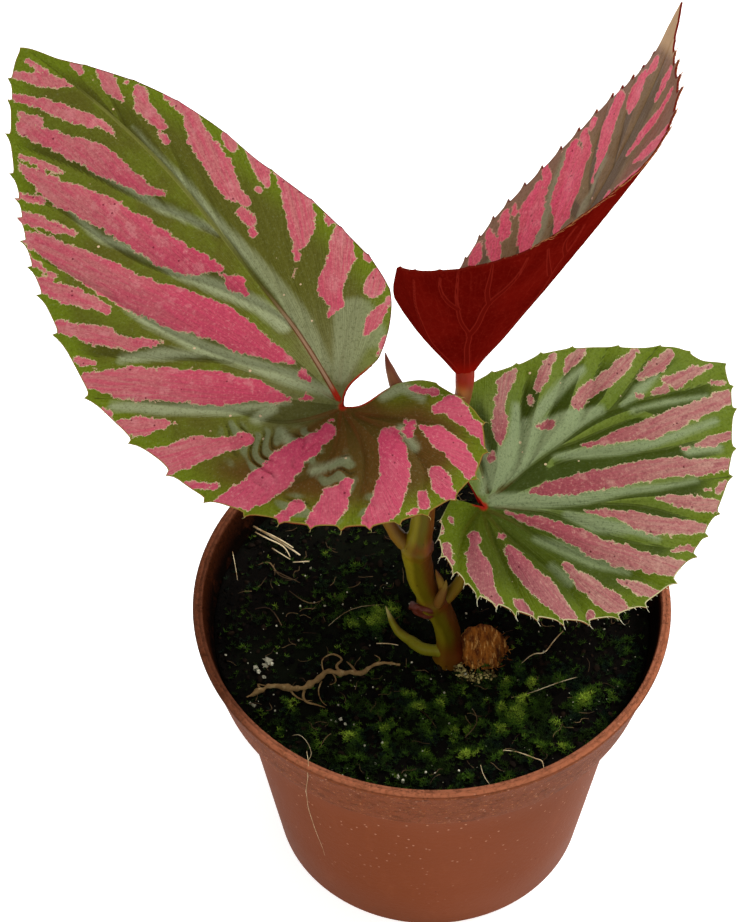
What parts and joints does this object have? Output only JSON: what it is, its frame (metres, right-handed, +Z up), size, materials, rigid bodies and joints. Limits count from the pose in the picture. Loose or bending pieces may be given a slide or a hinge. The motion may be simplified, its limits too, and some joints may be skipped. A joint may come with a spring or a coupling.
{
  "type": "potted begonia",
  "caption": "Potted painted-leaf begonia: a jointed olive cane with pink-splashed toothed leaves on red stalks, standing in dark mossy soil in a round terracotta-coloured plastic pot.",
  "frame": {"origin": "middle of the flat underside of the pot, on the surface the pot stands on", "axes": "+Z is up along the pot's axis, -Y is the front of the picture, +X is to the right seen from the front"},
  "size_m": [0.1803, 0.1615, 0.2399],
  "materials": {
    "pot_plastic": "satin, slightly dusty",
    "soil": "damp crumbly peat with moss",
    "cane": "satin plant skin",
    "red_stalk": "satin plant skin with fine hairs",
    "green_stalk": "satin plant skin",
    "bud": "matte",
    "shoot": "satin",
    "cork": "rough, fibrous",
    "painted_leaf": "satin, olive with pink splashes",
    "crimson_leaf": "satin, crimson underside",
    "russet_scale": "papery",
    "root": "dry, matte"
  },
  "bodies": {
    "root": {"pot": "pot_plastic", "soil": "soil", "cane": "cane", "left_stalk": "red_stalk", "right_stalk": "green_stalk", "back_stalk": "red_stalk", "top_bud": "bud", "base_shoot": "shoot", "old_stub": "cork", "left_leaf": "painted_leaf", "right_leaf": "painted_leaf", "back_leaf": "crimson_leaf", "russet_scale": "russet_scale", "pink_scale": "bud", "surface_root": "root"}
  },
  "joints": []
}
